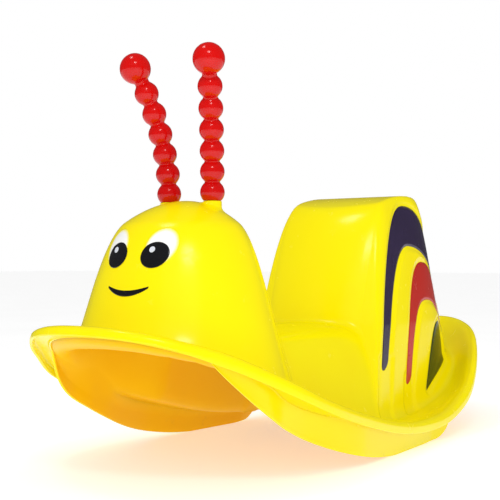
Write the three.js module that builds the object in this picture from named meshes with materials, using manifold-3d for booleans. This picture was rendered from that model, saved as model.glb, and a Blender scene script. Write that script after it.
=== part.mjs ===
// A one-piece moulded snail rocker (a child's seesaw) with two screwed-on bead handles.
// Millimetres, +Z up, the snail faces -Y and its left side is +X.
// The origin lies on the floor under the middle of the object.

import * as THREE from 'three';
import { mergeVertices } from 'three/addons/utils/BufferGeometryUtils.js';
import Module from 'manifold-3d';

const wasm = await Module();
wasm.setup();

// ---------------------------------------------------------------- driving dimensions

const WALL = 4;                      // thickness of the moulding

const RIM_POINTS = [                 // left half of the rim from tail to nose: edge x, y, crest z
  [0, 513, 186], [52, 503, 186], [101, 464, 180], [146, 405, 164], [180, 332, 123], [199, 258, 78],
  [207, 170, 50], [212, 83, 43], [219, -36, 52], [226, -170, 81], [229, -270, 110], [217, -352, 142],
  [171, -430, 180], [144, -465, 193], [104, -500, 205], [56, -520, 212], [0, -526, 214],
];

const LIP_CREST = 12;                // distance from the rim's outer edge to its highest line
const LIP_DROP = 19;                 // the lip curls down by this much from its crest
const LIP_DROP_NOSE = 13;            // and by this much at the nose
const LIP_NOSE_START = -430;
const LIP_NOSE_END = -500;
const LIP_THICK = 4.5;
const LIP_ROOT = 9;                  // underside of the lip just inside the curl, below the crest
const LIP_FALL = 0.2;                // slope of the underside from there to the skirt
const OVERHANG = 18;                 // how far the lip stands out from the skirt
const OVERHANG_FRONT = 30;           // extra in front of the shoulders
const OVERHANG_START = -130;
const OVERHANG_FULL = -290;
const OVERHANG_NOSE = 22;            // and less again round the nose
const OVERHANG_NOSE_START = -310;
const OVERHANG_NOSE_END = -420;
const OVERHANG_HEEL = 9;             // and where the rocker's heel meets the lip
const OVERHANG_HEEL_START = 100;
const OVERHANG_HEEL_END = 165;
const INNER_REACH = 9;               // from the skirt's outside to the end of the inner skin

const GUTTER_SIDE = 10;              // depth of the tray below the rim, beside the seat
const GUTTER_TAIL = 30;              // and behind the shell
const GUTTER_RAMP = 34;
const GUTTER_TAIL_START = 160;
const GUTTER_TAIL_END = 380;

const HEAD_Y = -298;                 // middle of the crown
const HEAD_TOP = 382.5;
const HEAD_CROWN = 0.0048;           // curvature of the crown, per millimetre
const HEAD_SIDE_HEIGHT = 300;        // the flanks have this radius at this height
const HEAD_SIDE_RADIUS = 111;
const HEAD_SIDE_SLOPE = 3.55;        // rise over run of the flanks
const HEAD_SHOULDER_BLEND = 54;
const HEAD_BASE_BLEND = 60;
const HEAD_WIDTH = 1.04;             // a level section is an ellipse, wide and a little short
const HEAD_DEPTH = 0.93;
const HEAD_LEAN = 0.14;              // the lower sections sit further forward, per radius

const SEAT_HEIGHT = 193;
const SEAT_CROWN = 0.0011;           // the seat falls away from its middle line
const SEAT_HALF_WIDTH = 118;
const SEAT_SQUARENESS = 8;
const SEAT_FRONT = -300;
const SEAT_END = 270;

const SHELL_Y = 235;                 // middle of the shell
const SHELL_CENTRE = 230;            // behind this station the shell's outline rounds off
const SHELL_FRONT = 32;              // the front panel stands here at the knee
const SHELL_BOW = 21;                // its corners are swept back
const SHELL_HALF_WIDTH = 120;
const SHELL_HALF_LENGTH = 184;
const SHELL_TOP = 414.5;
const SHELL_PEAK = 235;              // the roof is arched from front to rear
const SHELL_ARCH = 16;
const SHELL_SHOULDER = 404;          // the leans are measured from the knee up to here
const SHELL_KNEE = 190;              // below the knee the walls stand steeper
const SHELL_STEEP = 1.7;
const SHELL_SQUARENESS = 2.4;        // of the rounded rear, seen from above
const SHELL_FRONT_LEAN = 60;
const SHELL_SIDE_LEAN = 23;
const SHELL_REAR_LEAN = 147;
const SHELL_CORNER_BLEND = 73;
const SHELL_TOP_BLEND = 120;
const SHELL_FILLET = 14;
const SHELL_FLAT_PART = 0.1;         // the middle of the top, where no wall is near

const ROCKER_FRONT_Y = 0;            // the rocker stands level between these stations
const ROCKER_REAR_Y = 40;
const ROCKER_FRONT_RADIUS = 700;
const CHIN_START = -345;
const CHIN_RADIUS = 165;
const ROCKER_REAR_RADIUS = 1150;
const HEEL_START = 118;
const HEEL_RADIUS = 66;
const ROCKER_FLAT_DEPTH = 0.8;       // how much of the arc is flattened to stand on
const SKIRT_LEAST = 4;

const GRIP_X = 39.4;                 // each handle's root, left and right of the middle
const GRIP_Y = -289;
const GRIP_ROOT = 382;               // underside of the lowest bead
const GRIP_OUT = 27.2;               // how far the top ball lies outward of the root
const GRIP_FORWARD = 45;             // and forward of it
const BEAD_RADIUS = 17.5;
const BALL_RADIUS = 22.5;
const NECK_RADIUS = 10.5;
const BEAD_PITCH = 29.1;
const BEADS = 6;
const BALL_PITCH = 35;
const FIRST_BEAD = 12;               // centre of the lowest bead above the root
const GRIP_WALL = 3.5;
const HOLLOW_START = 22;

const BOSS_RADIUS = 13.5;
const BOSS_PAD_RADIUS = 15;
const BOSS_BOTTOM = 362;
const SCREW_RADIUS = 4;
const SCREW_HOLE_RADIUS = 4.5;
const SCREW_LENGTH = 38;
const SCREW_HEAD_HEIGHT = 5.5;
const SCREW_HEAD_RADIUS = 7.5;
const WASHER_RADIUS = 12;
const WASHER_THICK = 1.6;
const INSERT_RADIUS = 6;
const INSERT_BORE = 4.4;
const INSERT_LENGTH = 18;
const INSERT_DEPTH = 2;
const GAP = 0.3;                     // clearance between pieces that touch

const FILM_LOW = 0.3;                // painted areas are thin films just off the skin
const FILM_HIGH = 1.1;

// Painted areas, mirrored left and right. Face outlines are (x, z) seen from the front.
const EYE_X = 36;
const EYE_Z = 313;
const EYE_HALF_WIDTH = 24;
const EYE_HALF_HEIGHT = 27;
const PUPIL_X = 32.5;
const PUPIL_Z = 304;
const PUPIL_HALF_WIDTH = 19.5;
const PUPIL_HALF_HEIGHT = 17;
const GLINT_X = 28;
const GLINT_Z = 311;
const GLINT_RADIUS = 4;
const SMILE_HALF_WIDTH = 37.5;
const SMILE_CORNER_Z = 261.5;
const SMILE_LOW_Z = 251.5;
const SMILE_THICK = 7;

// Stripes are arches seen from the side: front foot, crown and rear foot, each (y, z).
// The opening of an arch ends lower than its feet, so that it cuts right through.
const STRIPES = [
  {
    name: 'stripe_purple',
    color: 0x33264f,
    outer: arch([66, 110], [210, 396.5], [380, 236], [0.2, 0.61], 0.8, 0.34),
    opening: arch([80.5, 79], [204, 324], [364, 188], [0.23, 0.27], 0.67, 0.38),
  },
  {
    name: 'stripe_red',
    color: 0xc82a2a,
    outer: arch([151.5, 80], [251.5, 296], [362, 180], [0.25, 0.4], 0.76, 0.41),
    opening: arch([163.5, 53], [257.5, 227.5], [352, 130], [0.27, 0.19], 0.79, 0.44),
  },
  {
    name: 'stripe_green',
    color: 0x2f5a20,
    outer: arch([230, 68], [316, 187], [330, 116], [0.42, -0.1], 0.82, 0.36),
    opening: null,
  },
];

const LINES = 42;                    // facets of the skin: lines per side, and rows
const OUTER_ROWS = 26;
const INNER_ROWS = 17;
const SAMPLES = 240;

// ---------------------------------------------------------------- materials

const plastic = (color, roughness) => new THREE.MeshStandardMaterial({ color, roughness, metalness: 0 });
const metal = (color, roughness) => new THREE.MeshStandardMaterial({ color, roughness, metalness: 1 });

const YELLOW = plastic(0xfaf000, 0.22);
const RED = plastic(0xe00808, 0.2);
const WHITE = plastic(0xf8f8f6, 0.3);
const BLACK = plastic(0x0c0c0c, 0.25);
const STEEL = metal(0xb8bcc0, 0.35);
const BRASS = metal(0xc9a44a, 0.35);

// ---------------------------------------------------------------- small helpers

const clamp = THREE.MathUtils.clamp;
const lerp = THREE.MathUtils.lerp;

function ramp(value, start, end) {
  const t = clamp((value - start) / (end - start), 0, 1);
  return t * t * (3 - 2 * t);
}

function smoothMax(a, b, width) {
  const overlap = Math.max(width - Math.abs(a - b), 0) / width;
  return Math.max(a, b) + (overlap * overlap * width) / 4;
}

const smoothMin = (a, b, width) => -smoothMax(-a, -b, width);

// Welds a geometry's corners and drops the triangles that a seam or a pole collapses.
function welded(geometry) {
  const bare = new THREE.BufferGeometry();
  bare.setAttribute('position', geometry.attributes.position.clone());
  if (geometry.index) bare.setIndex(geometry.index.clone());
  const joined = mergeVertices(bare, 1e-3);
  const corners = joined.index.array;
  const kept = [];
  for (let i = 0; i < corners.length; i += 3) {
    const [a, b, c] = [corners[i], corners[i + 1], corners[i + 2]];
    if (a !== b && b !== c && c !== a) kept.push(a, b, c);
  }
  joined.setIndex(kept);
  return joined;
}

function solidOf(geometry) {
  const joined = welded(geometry);
  const vertProperties = new Float32Array(joined.attributes.position.array);
  const triVerts = new Uint32Array(joined.index.array);
  return new wasm.Manifold(new wasm.Mesh({ numProp: 3, vertProperties, triVerts }));
}

function geometryOf(solid) {
  const mesh = solid.getMesh();
  const geometry = new THREE.BufferGeometry();
  geometry.setAttribute('position', new THREE.BufferAttribute(mesh.vertProperties, 3));
  geometry.setIndex(new THREE.BufferAttribute(mesh.triVerts, 1));
  geometry.computeVertexNormals();
  return geometry;
}

// A flat sheet of columns by rows, bent so that each corner lands on pointAt(column, row).
function bentSheet(columns, rows, pointAt) {
  const sheet = new THREE.PlaneGeometry(1, 1, columns, rows);
  const position = sheet.attributes.position;
  for (let i = 0; i < position.count; i += 1) {
    const point = pointAt(i % (columns + 1), Math.floor(i / (columns + 1)));
    position.setXYZ(i, point.x, point.y, point.z);
  }
  return sheet;
}

function uprightCylinder(radius, bottom, top, x, y, sides = 24) {
  const cylinder = new THREE.CylinderGeometry(radius, radius, top - bottom, sides);
  cylinder.rotateX(Math.PI / 2);
  cylinder.translate(x, y, (bottom + top) / 2);
  return cylinder;
}

// ---------------------------------------------------------------- the rim and the rocker edge

const rimLeft = RIM_POINTS.map(([x, y, z]) => new THREE.Vector3(x, y, z));
const rimRight = rimLeft.slice(1, -1).reverse().map((p) => new THREE.Vector3(-p.x, p.y, p.z));
const RIM = new THREE.CatmullRomCurve3([...rimLeft, ...rimRight], true, 'centripetal');
const RIM_POLYLINE = RIM.getPoints(SAMPLES);

function distanceToRim(x, y) {
  let least = Infinity;
  for (let i = 0; i < SAMPLES; i += 1) {
    const a = RIM_POLYLINE[i];
    const b = RIM_POLYLINE[i + 1];
    const [dx, dy] = [b.x - a.x, b.y - a.y];
    const t = clamp(((x - a.x) * dx + (y - a.y) * dy) / (dx * dx + dy * dy), 0, 1);
    least = Math.min(least, Math.hypot(x - a.x - t * dx, y - a.y - t * dy));
  }
  return least;
}

// Height of the rim's crest at a station along the object.
function rimHeight(y) {
  let i = 1;
  while (i < SAMPLES / 2 && RIM_POLYLINE[i].y > y) i += 1;
  const [a, b] = [RIM_POLYLINE[i - 1], RIM_POLYLINE[i]];
  return lerp(a.z, b.z, clamp((a.y - y) / (a.y - b.y), 0, 1));
}

// How far the lip stands out from the skirt, and how deep its underside lies where they meet.
const overhang = (y) => OVERHANG
  + OVERHANG_FRONT * ramp(y, OVERHANG_START, OVERHANG_FULL)
  - OVERHANG_NOSE * ramp(y, OVERHANG_NOSE_START, OVERHANG_NOSE_END)
  - OVERHANG_HEEL * ramp(y, OVERHANG_HEEL_START, OVERHANG_HEEL_END);
const lipUnder = (y) => LIP_ROOT + LIP_FALL * (overhang(y) - LIP_THICK - 3);

const arcRise = (reach, radius) => radius - Math.sqrt(Math.max(radius * radius - reach * reach, 0));

// Lower edge of the skirt: long arcs fore and aft of the level part, a chin and a round heel.
function rockerEdge(y) {
  const radius = y < ROCKER_FRONT_Y ? ROCKER_FRONT_RADIUS : ROCKER_REAR_RADIUS;
  const reach = y - clamp(y, ROCKER_FRONT_Y, ROCKER_REAR_Y);
  const arc = arcRise(reach, radius);
  const past = clamp(y - HEEL_START, 0, HEEL_RADIUS);
  const heel = arcRise(past, HEEL_RADIUS);
  const chin = arcRise(Math.max(CHIN_START - y, 0), CHIN_RADIUS);
  return y > HEEL_START + HEEL_RADIUS ? Infinity : arc + heel + chin - ROCKER_FLAT_DEPTH;
}

// ---------------------------------------------------------------- the top skin as a height

function trayHeight(x, y) {
  const depth = lerp(GUTTER_SIDE, GUTTER_TAIL, ramp(y, GUTTER_TAIL_START, GUTTER_TAIL_END));
  const away = distanceToRim(x, y);
  return rimHeight(y) - depth * ramp(away, LIP_CREST, LIP_CREST + GUTTER_RAMP);
}

function seatRise(x, y) {
  const along = ramp(y, SEAT_FRONT - 120, SEAT_FRONT) * (1 - ramp(y, SEAT_END, SEAT_END + 120));
  return along * Math.exp(-(Math.abs(x / SEAT_HALF_WIDTH) ** SEAT_SQUARENESS));
}

// Sections of the head are ellipses whose middles move forward as they grow.
function headHeight(x, y) {
  const back = y - HEAD_Y;
  const across = (x * HEAD_DEPTH) / HEAD_WIDTH;
  const spread = HEAD_DEPTH ** 2 - HEAD_LEAN ** 2;
  const root = Math.sqrt((HEAD_LEAN * back) ** 2 + spread * (back * back + across * across));
  const radius = (HEAD_LEAN * back + root) / spread;
  const crown = HEAD_TOP - HEAD_CROWN * radius * radius;
  const flank = HEAD_SIDE_HEIGHT + (HEAD_SIDE_RADIUS - radius) * HEAD_SIDE_SLOPE;
  return smoothMin(crown, flank, HEAD_SHOULDER_BLEND);
}

// How far a point lies inside the shell's sides and rounded rear, and how the wall there leans.
function shellDepth(x, y) {
  const along = Math.max(y - SHELL_CENTRE, 0) / SHELL_HALF_LENGTH;
  const across = Math.abs(x) / SHELL_HALF_WIDTH;
  const power = SHELL_SQUARENESS;
  const size = (along ** power + across ** power) ** (1 / power);
  if (size < SHELL_FLAT_PART) return { depth: SHELL_HALF_WIDTH, lean: SHELL_SIDE_LEAN };
  const slopeY = (along / size) ** (power - 1) / SHELL_HALF_LENGTH;
  const slopeX = (across / size) ** (power - 1) / SHELL_HALF_WIDTH;
  const endwise = (slopeY * slopeY) / (slopeX * slopeX + slopeY * slopeY);
  const lean = lerp(SHELL_SIDE_LEAN, SHELL_REAR_LEAN, endwise);
  return { depth: (1 - size) / Math.hypot(slopeX, slopeY), lean };
}

// Walls that lean inward, less below the knee, under an arched roof. The front panel meets the
// sides at a rounded corner, and all of them leave the floor through a fillet.
function shellHeight(x, y, floor) {
  const { depth, lean } = shellDepth(x, y);
  const front = y - SHELL_FRONT - SHELL_BOW * (x / 100) ** 2;
  const rise = SHELL_SHOULDER - SHELL_KNEE;
  const around = (rise * depth) / lean;
  const climb = smoothMin(around, (rise * front) / SHELL_FRONT_LEAN, SHELL_CORNER_BLEND);
  const start = floor + SHELL_FILLET;
  const walls = Math.max(SHELL_KNEE, start) + (climb > 0 ? climb : SHELL_STEEP * climb);
  const facing = ramp(depth / lean - front / SHELL_FRONT_LEAN, -0.2, 0.2);
  const run = lerp(lean, SHELL_FRONT_LEAN, facing) / (SHELL_STEEP * rise);
  const outside = clamp((walls - start) * run, -SHELL_FILLET, 0);
  const foot = floor + arcRise(SHELL_FILLET + outside, SHELL_FILLET);
  const roof = SHELL_TOP - SHELL_ARCH * ((y - SHELL_PEAK) / 100) ** 2;
  return smoothMin(walls > start ? walls : foot, roof, SHELL_TOP_BLEND);
}

function topHeight(x, y) {
  const tray = trayHeight(x, y);
  const seat = lerp(tray, SEAT_HEIGHT - SEAT_CROWN * x * x, seatRise(x, y));
  const floor = smoothMax(seat, headHeight(x, y), HEAD_BASE_BLEND);
  return y > SHELL_FRONT - SHELL_FILLET ? shellHeight(x, y, floor) : floor;
}

function skinPoint(x, y, offset) {
  const step = 0.5;
  const slopeX = (topHeight(x + step, y) - topHeight(x - step, y)) / (2 * step);
  const slopeY = (topHeight(x, y + step) - topHeight(x, y - step)) / (2 * step);
  const normal = new THREE.Vector3(-slopeX, -slopeY, 1).normalize();
  return new THREE.Vector3(x, y, topHeight(x, y)).addScaledVector(normal, offset);
}

// ---------------------------------------------------------------- lines that cover the skin

// Splits a path into equal steps of a running length; returns the parameters of the steps.
function evenSteps(count, lengthBetween) {
  const running = [0];
  for (let i = 1; i <= SAMPLES; i += 1) {
    running.push(running[i - 1] + lengthBetween((i - 1) / SAMPLES, i / SAMPLES));
  }
  const steps = [];
  for (let k = 0, i = 0; k <= count; k += 1) {
    const target = (running[SAMPLES] * k) / count;
    while (i < SAMPLES - 1 && running[i + 1] < target) i += 1;
    steps.push((i + (target - running[i]) / (running[i + 1] - running[i])) / SAMPLES);
  }
  return steps;
}

// The middle line runs from the head's axis to the shell; each skin line starts on it.
const middleOf = (y) => clamp(y, HEAD_Y, SHELL_Y);

function rimStation(t) {
  const edge = RIM.getPoint(t / 2);
  const tangent = RIM.getTangent(t / 2);
  const inward = new THREE.Vector3(tangent.y, -tangent.x, 0).normalize();
  if (inward.x * edge.x > 0 || t === 0 || t === 1) inward.x *= -1;
  if (t === 0) inward.set(0, -1, 0);
  if (t === 1) inward.set(0, 1, 0);
  if (t === 0 || t === 1) edge.x = 0;
  const inset = (distance) => edge.clone().addScaledVector(inward, distance);
  return { edge, inset };
}

const stationTimes = evenSteps(LINES, (from, to) => {
  const [a, b] = [RIM.getPoint(from / 2), RIM.getPoint(to / 2)];
  const climbed = topHeight(0, middleOf(a.y)) - topHeight(0, middleOf(b.y));
  return a.distanceTo(b) + Math.abs(climbed);
});
stationTimes[0] = 0;
stationTimes[LINES] = 1;

function skinLine(station, endInset, rows, offset) {
  const start = new THREE.Vector3(0, middleOf(station.edge.y), 0);
  const end = station.inset(endInset);
  const at = (t) => start.clone().lerp(end, t);
  const steps = evenSteps(rows, (from, to) => {
    const [a, b] = [at(from), at(to)];
    return Math.hypot(b.x - a.x, b.y - a.y, topHeight(b.x, b.y) - topHeight(a.x, a.y));
  });
  return steps.map((t) => skinPoint(at(t).x, at(t).y, offset));
}

// The curled lip and the skirt below it, from the crest outward, down, back under and down.
function lipAndSkirt(station) {
  const crest = rimHeight(station.edge.y);
  const root = overhang(station.edge.y);
  const under = crest - lipUnder(station.edge.y);
  const tip = crest - lerp(LIP_DROP, LIP_DROP_NOSE, ramp(station.edge.y, LIP_NOSE_START, LIP_NOSE_END));
  const bottom = Math.min(rockerEdge(station.inset(root).y), under - SKIRT_LEAST);
  const place = (distance, height) => station.inset(distance).setZ(height);
  return {
    outer: [
      place(5, crest - 1.8),
      place(1, crest - 6),
      place(0, crest - 10),
      place(0, tip),
      place(LIP_THICK, tip),
      place(LIP_THICK + 0.5, crest - LIP_ROOT - 2),
      place(LIP_THICK + 3, crest - LIP_ROOT),
      place(root, under),
      place(root, bottom),
    ],
    innerFoot: place(root + WALL, bottom),
    innerEdge: root + INNER_REACH,
  };
}

const STATIONS = stationTimes.map(rimStation);

// Closes a family of left-hand lines into a ring: down the right side, then back up the left.
function mirroredRing(lines) {
  return bentSheet(2 * LINES, lines[0].length - 1, (column, row) => {
    const right = column <= LINES;
    const point = lines[right ? column : 2 * LINES - column][row];
    return right ? new THREE.Vector3(-point.x, point.y, point.z) : point;
  });
}

// The moulding: outer skin, lip, skirt, then back up the inside.
function mouldedWall() {
  return mirroredRing(STATIONS.map((station) => {
    const { outer, innerFoot, innerEdge } = lipAndSkirt(station);
    const outside = skinLine(station, LIP_CREST, OUTER_ROWS, 0);
    const inside = skinLine(station, innerEdge, INNER_ROWS, -WALL);
    return [...outside, ...outer, innerFoot, ...inside.reverse()];
  }));
}

// The same outline filled solid and swollen by an offset, to cut films that follow the skin.
function swollenBody(offset) {
  return solidOf(mirroredRing(STATIONS.map((station) => {
    const skin = skinLine(station, LIP_CREST, OUTER_ROWS, offset);
    const { outer } = lipAndSkirt(station);
    const base = new THREE.Vector3(0, middleOf(station.edge.y), -50);
    return [...skin, ...outer, base];
  })));
}

// ---------------------------------------------------------------- the body

function bodyShell() {
  let body = solidOf(mouldedWall());
  const floorCut = new THREE.BoxGeometry(1000, 1200, 20);
  floorCut.translate(0, 0, -10);
  body = body.subtract(solidOf(floorCut));
  for (const side of [1, -1]) {
    const x = side * GRIP_X;
    const post = (radius, bottom, top) => solidOf(uprightCylinder(radius, bottom, top, x, GRIP_Y));
    body = body.add(post(BOSS_RADIUS, HEAD_TOP - 16, GRIP_ROOT - GAP));
    body = body.add(post(BOSS_PAD_RADIUS, BOSS_BOTTOM, HEAD_TOP - 15));
    body = body.subtract(post(SCREW_HOLE_RADIUS, BOSS_BOTTOM - 5, HEAD_TOP + 5));
  }
  return geometryOf(body);
}

// ---------------------------------------------------------------- the handles

const GRIP_TOP = FIRST_BEAD + (BEADS - 1) * BEAD_PITCH + BALL_PITCH;

// A string of beads with a larger ball on top; the axis bows outward and forward.
function gripRadius(height) {
  let radius = height > FIRST_BEAD ? NECK_RADIUS : 0;
  for (let bead = 0; bead < BEADS; bead += 1) {
    const away = height - FIRST_BEAD - bead * BEAD_PITCH;
    radius = Math.max(radius, Math.sqrt(Math.max(BEAD_RADIUS ** 2 - away ** 2, 0)));
  }
  const fromBall = height - GRIP_TOP;
  const ball = Math.sqrt(Math.max(BALL_RADIUS ** 2 - fromBall ** 2, 0));
  return height > GRIP_TOP ? ball : Math.max(radius, ball);
}

function gripAxis(height) {
  const bow = (height / GRIP_TOP) ** 2;
  return new THREE.Vector3(GRIP_X + GRIP_OUT * bow, GRIP_Y - GRIP_FORWARD * bow, GRIP_ROOT + height);
}

// Heights of the rings: a few on each bead, then even turns over the ball to its pole.
function gripHeights(beadSteps, ballTurn, wall) {
  const heights = [0];
  for (let bead = 0; bead < BEADS; bead += 1) {
    for (const step of beadSteps) heights.push(FIRST_BEAD + bead * BEAD_PITCH + step);
  }
  for (let turn = 36; turn <= 180 - ballTurn / 2; turn += ballTurn) {
    heights.push(GRIP_TOP - (BALL_RADIUS - wall) * Math.cos(THREE.MathUtils.degToRad(turn)));
  }
  heights.push(GRIP_TOP + BALL_RADIUS - wall);
  return heights;
}

// A closed string of rings round the bowed axis, its radius given by height above the root.
function ringString(around, heights, radiusAt) {
  const rows = heights.length + 1;
  return solidOf(bentSheet(around, rows, (column, row) => {
    const height = heights[clamp(row - 1, 0, heights.length - 1)];
    const radius = row === 0 || row === rows ? 0 : radiusAt(height);
    const angle = (-2 * Math.PI * column) / around;
    const along = gripAxis(height + 0.5).sub(gripAxis(Math.max(height - 0.5, 0))).normalize();
    const outward = new THREE.Vector3(1, 0, 0).addScaledVector(along, -along.x).normalize();
    const sideways = along.clone().cross(outward);
    return gripAxis(height)
      .addScaledVector(outward, radius * Math.cos(angle))
      .addScaledVector(sideways, radius * Math.sin(angle));
  }));
}

// The handle is blown hollow, with a solid foot that holds the threaded insert.
function grip() {
  const skin = ringString(14, gripHeights([-12, -4.5, 4.5, 12], 20, 0), gripRadius);
  const inside = gripHeights([-11, 0, 11], 36, GRIP_WALL).filter((height) => height > HOLLOW_START);
  const hollow = ringString(8, inside, (height) => gripRadius(height) - GRIP_WALL);
  const boreTop = GRIP_ROOT + HOLLOW_START + GRIP_WALL;
  const bore = uprightCylinder(INSERT_RADIUS + GAP, GRIP_ROOT - 5, boreTop, GRIP_X, GRIP_Y);
  return skin.subtract(hollow).subtract(solidOf(bore));
}

// ---------------------------------------------------------------- handle fasteners

function tube(outer, inner, bottom, top, x, sides) {
  const solid = solidOf(uprightCylinder(outer, bottom, top, x, GRIP_Y, sides));
  return geometryOf(solid.subtract(solidOf(uprightCylinder(inner, bottom - 1, top + 1, x, GRIP_Y, 24))));
}

const WASHER_TOP = BOSS_BOTTOM - GAP;
const SCREW_SEAT = WASHER_TOP - WASHER_THICK - GAP;

const insert = (x) => tube(INSERT_RADIUS, INSERT_BORE,
  GRIP_ROOT + INSERT_DEPTH, GRIP_ROOT + INSERT_DEPTH + INSERT_LENGTH - GAP, x, 24);

const washer = (x) => tube(WASHER_RADIUS, SCREW_HOLE_RADIUS, WASHER_TOP - WASHER_THICK, WASHER_TOP, x, 24);

function screw(x) {
  const headBottom = SCREW_SEAT - SCREW_HEAD_HEIGHT;
  const tip = SCREW_SEAT + SCREW_LENGTH;
  const head = solidOf(uprightCylinder(SCREW_HEAD_RADIUS, headBottom, SCREW_SEAT, x, GRIP_Y, 6));
  const shank = solidOf(uprightCylinder(SCREW_RADIUS, SCREW_SEAT - 1, tip, x, GRIP_Y, 20));
  return geometryOf(head.add(shank));
}

// ---------------------------------------------------------------- painted films

const skinLow = swollenBody(FILM_LOW);
const skinHigh = swollenBody(FILM_HIGH);

// Extrudes an outline drawn as (x, z) toward the nose, over the front of the head.
function towardNose(shape) {
  const prism = new THREE.ExtrudeGeometry(shape, { depth: 260, bevelEnabled: false, curveSegments: 16 });
  prism.rotateX(Math.PI / 2);
  prism.translate(0, HEAD_Y - 20, 0);
  return prism;
}

// Extrudes an outline drawn as (y, z) to one side, over the flank of the shell.
function towardSide(shape, side) {
  const prism = new THREE.ExtrudeGeometry(shape, { depth: 120, bevelEnabled: false, curveSegments: 8 });
  prism.rotateX(Math.PI / 2);
  prism.rotateZ(Math.PI / 2);
  prism.translate(side > 0 ? 30 : -150, 0, 0);
  return prism;
}

function oval(x, z, halfWidth, halfHeight) {
  return new THREE.Shape().absellipse(x, z, halfWidth, halfHeight, 0, 2 * Math.PI, false);
}

// A crescent between two arcs that meet at the corners of the mouth.
function smileOutline() {
  const shape = new THREE.Shape();
  const sag = 2 * SMILE_LOW_Z - SMILE_CORNER_Z;
  shape.moveTo(-SMILE_HALF_WIDTH, SMILE_CORNER_Z);
  shape.quadraticCurveTo(0, sag - SMILE_THICK, SMILE_HALF_WIDTH, SMILE_CORNER_Z);
  shape.quadraticCurveTo(0, sag + SMILE_THICK, -SMILE_HALF_WIDTH, SMILE_CORNER_Z);
  return shape;
}

// The legs lean toward the crown, per millimetre of height; `reach` says how straight they are
// and `shoulder` how broad the crown is.
function arch(front, crown, rear, leans, reach, shoulder) {
  return { front, crown, rear, leans, reach, shoulder };
}

function archOutline({ front, crown, rear, leans, reach, shoulder }) {
  const bend = ([y, z], lean) => {
    const legRise = reach * (crown[1] - z);
    return [y + lean * legRise, z + legRise, lerp(crown[0], y, shoulder), crown[1]];
  };
  const [frontY, frontZ, toCrownY, toCrownZ] = bend(front, leans[0]);
  const [rearY, rearZ, fromCrownY, fromCrownZ] = bend(rear, -leans[1]);
  const shape = new THREE.Shape();
  shape.moveTo(...front);
  shape.bezierCurveTo(frontY, frontZ, toCrownY, toCrownZ, ...crown);
  shape.bezierCurveTo(fromCrownY, fromCrownZ, rearY, rearZ, ...rear);
  shape.closePath();
  return shape;
}

// A film with a hole for the film that lies inside it.
function film(outline, hole, sweep) {
  let prism = solidOf(sweep(outline));
  if (hole) prism = prism.subtract(solidOf(sweep(hole)));
  return geometryOf(prism.intersect(skinHigh).subtract(skinLow));
}

function eyeFilms(side) {
  const at = (x, z, halfWidth, halfHeight) => oval(side * x, z, halfWidth, halfHeight);
  const pupil = at(PUPIL_X, PUPIL_Z, PUPIL_HALF_WIDTH, PUPIL_HALF_HEIGHT);
  const pupilHole = at(PUPIL_X, PUPIL_Z, PUPIL_HALF_WIDTH + GAP, PUPIL_HALF_HEIGHT + GAP);
  const glintX = PUPIL_X + side * (GLINT_X - PUPIL_X);
  const glint = at(glintX, GLINT_Z, GLINT_RADIUS, GLINT_RADIUS);
  const glintHole = at(glintX, GLINT_Z, GLINT_RADIUS + GAP, GLINT_RADIUS + GAP);
  return {
    white: film(at(EYE_X, EYE_Z, EYE_HALF_WIDTH, EYE_HALF_HEIGHT), pupilHole, towardNose),
    pupil: film(pupil, glintHole, towardNose),
    glint: film(glint, null, towardNose),
  };
}

// ---------------------------------------------------------------- the assembly

const snail = new THREE.Group();
const MIDDLE_Y = (RIM_POINTS[0][1] + RIM_POINTS[RIM_POINTS.length - 1][1]) / 2;

// Every piece moves by the same step, so that the origin lies under the middle of the object.
function add(name, geometry, material) {
  const mesh = new THREE.Mesh(geometry.translate(0, -MIDDLE_Y, 0), material);
  mesh.name = name;
  snail.add(mesh);
}

add('body_shell', bodyShell(), YELLOW);
add('mouth', film(smileOutline(), null, towardNose), BLACK);

for (const [sideName, side] of [['left', 1], ['right', -1]]) {
  const x = side * GRIP_X;
  add(`antenna_${sideName}`, geometryOf(side > 0 ? grip() : grip().mirror([1, 0, 0])), RED);
  add(`antenna_insert_${sideName}`, insert(x), BRASS);
  add(`antenna_washer_${sideName}`, washer(x), STEEL);
  add(`antenna_screw_${sideName}`, screw(x), STEEL);

  const eye = eyeFilms(side);
  add(`eye_white_${sideName}`, eye.white, WHITE);
  add(`eye_pupil_${sideName}`, eye.pupil, BLACK);
  add(`eye_glint_${sideName}`, eye.glint, WHITE);

  for (const { name, color, outer, opening } of STRIPES) {
    const sweep = (shape) => towardSide(shape, side);
    const hole = opening && archOutline(opening);
    add(`${name}_${sideName}`, film(archOutline(outer), hole, sweep), plastic(color, 0.35));
  }
}

export default snail;
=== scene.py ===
"""Looks of the snail rocker: a moulded yellow body, two red bead handles and painted areas.

Lengths are millimetres in the object's own axes (the snail faces -Y, its left side is +X) and
become metres of the frame in to_frame.
"""

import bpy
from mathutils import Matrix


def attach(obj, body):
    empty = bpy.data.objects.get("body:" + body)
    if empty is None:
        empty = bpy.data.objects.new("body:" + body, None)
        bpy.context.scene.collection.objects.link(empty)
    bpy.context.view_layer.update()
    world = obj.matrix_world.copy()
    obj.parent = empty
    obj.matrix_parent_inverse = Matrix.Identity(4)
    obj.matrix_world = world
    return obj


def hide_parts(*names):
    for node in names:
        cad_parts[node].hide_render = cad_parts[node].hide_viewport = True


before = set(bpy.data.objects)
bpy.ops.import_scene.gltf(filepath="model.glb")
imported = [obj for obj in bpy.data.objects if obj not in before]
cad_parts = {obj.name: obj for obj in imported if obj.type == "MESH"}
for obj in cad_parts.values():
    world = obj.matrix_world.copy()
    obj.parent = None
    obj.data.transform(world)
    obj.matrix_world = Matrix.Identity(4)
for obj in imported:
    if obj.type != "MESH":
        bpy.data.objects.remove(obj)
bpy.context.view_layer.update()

import math

import bmesh
import bpy
import numpy as np

# ------------------------------------------------------------------ dimensions of the moulding

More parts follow.
